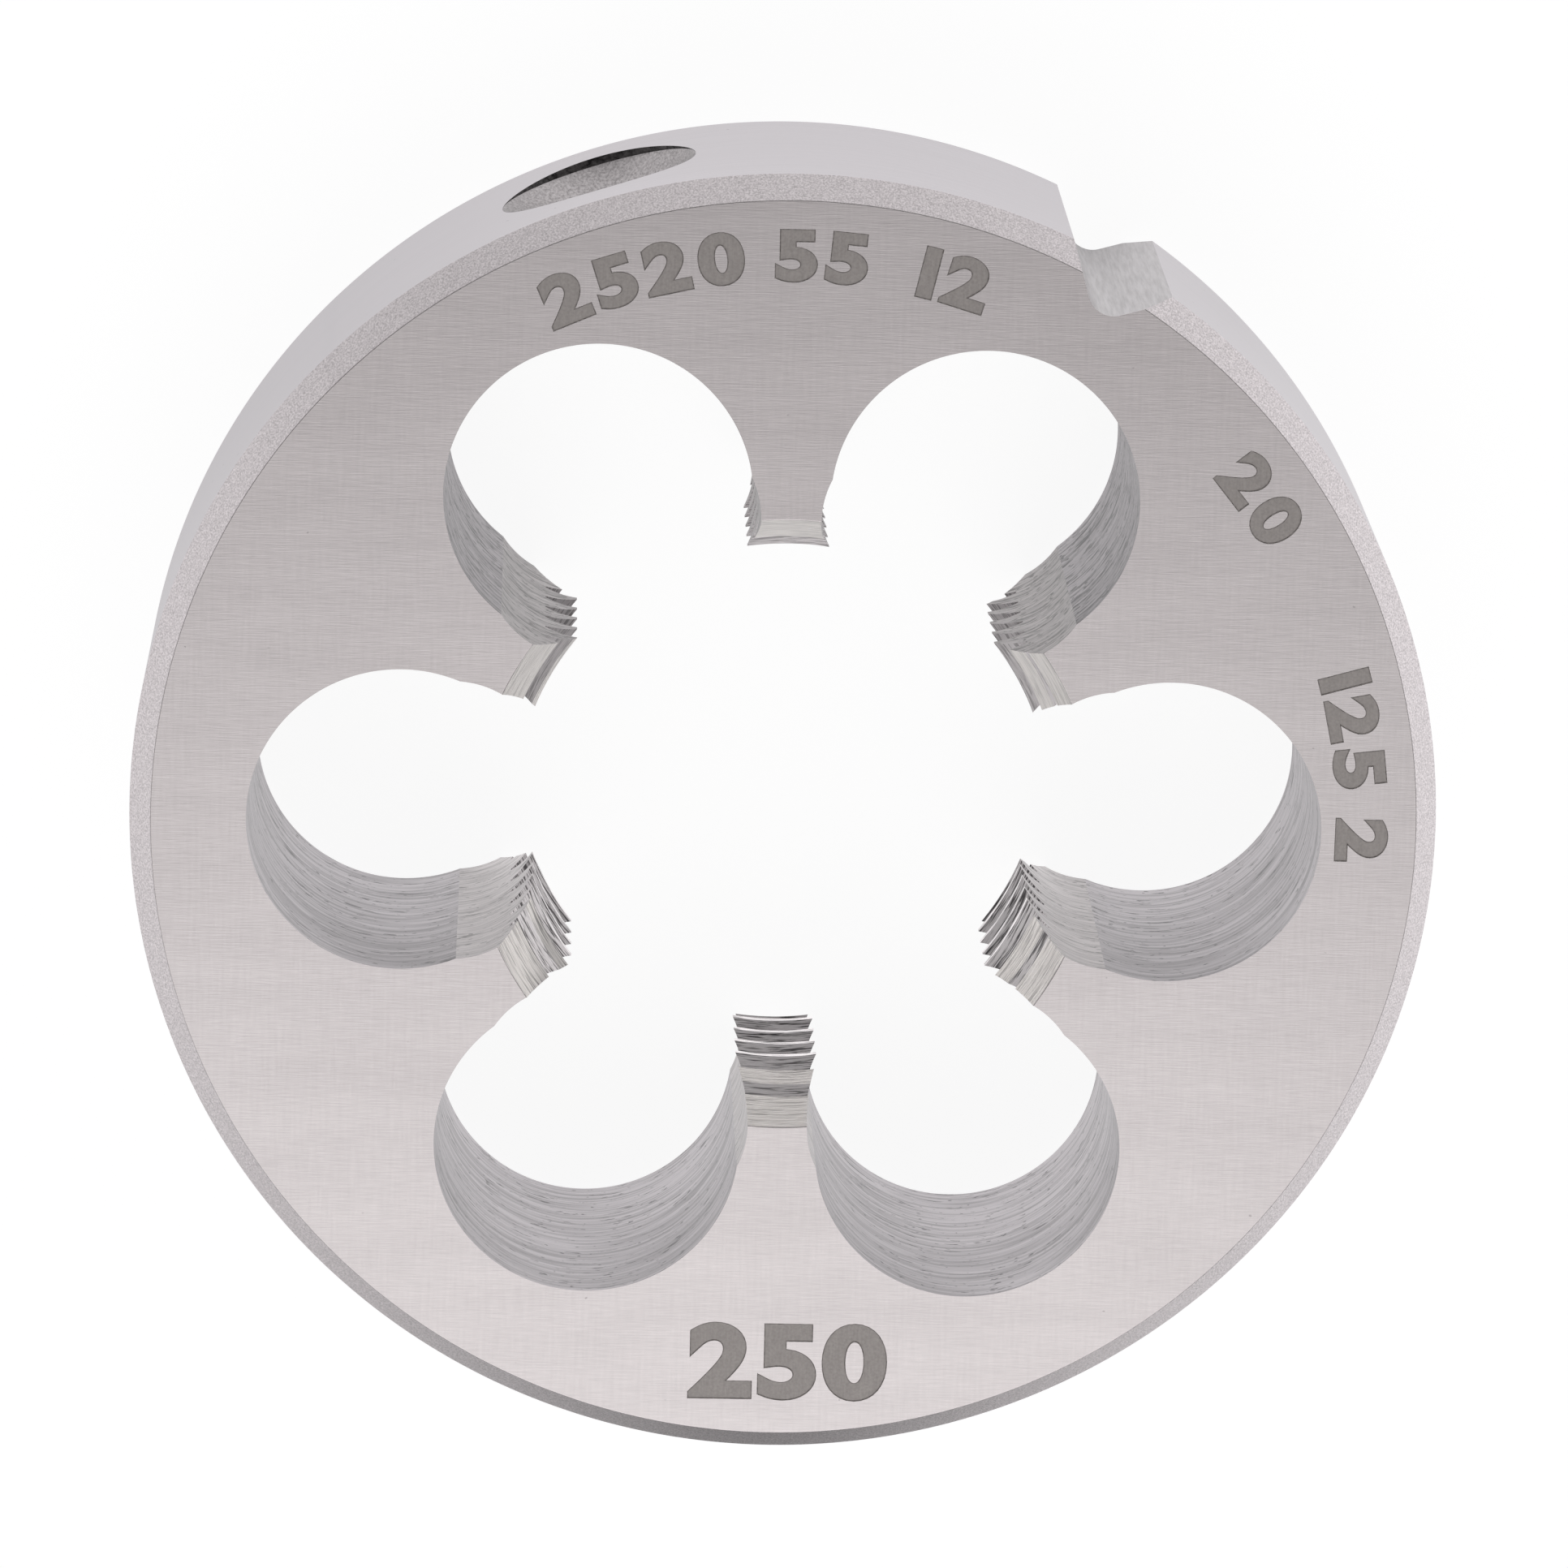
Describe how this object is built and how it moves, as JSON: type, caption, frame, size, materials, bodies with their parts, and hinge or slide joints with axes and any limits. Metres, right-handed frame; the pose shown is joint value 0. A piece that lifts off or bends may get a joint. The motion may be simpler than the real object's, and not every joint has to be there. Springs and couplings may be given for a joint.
{
  "type": "round threading die",
  "caption": "Closed round threading die of tool steel, with lands between round chip holes that cut an external thread on a rod, and a notched rim that a die stock's screws hold.",
  "frame": {"origin": "centre of the back face, on the axis of the bore", "axes": "+Z along the bore's axis, from the back face up to the marked front face; +Y through the middle of one land, with the rim's V notch between +Y and +X"},
  "size_m": [0.055, 0.055, 0.016],
  "materials": {
    "tool_steel": "ground hardened tool steel: satin faces and rim, grainy bevels, drilled chip-hole walls"
  },
  "bodies": {
    "root": {"die_body": "tool_steel"}
  },
  "joints": []
}
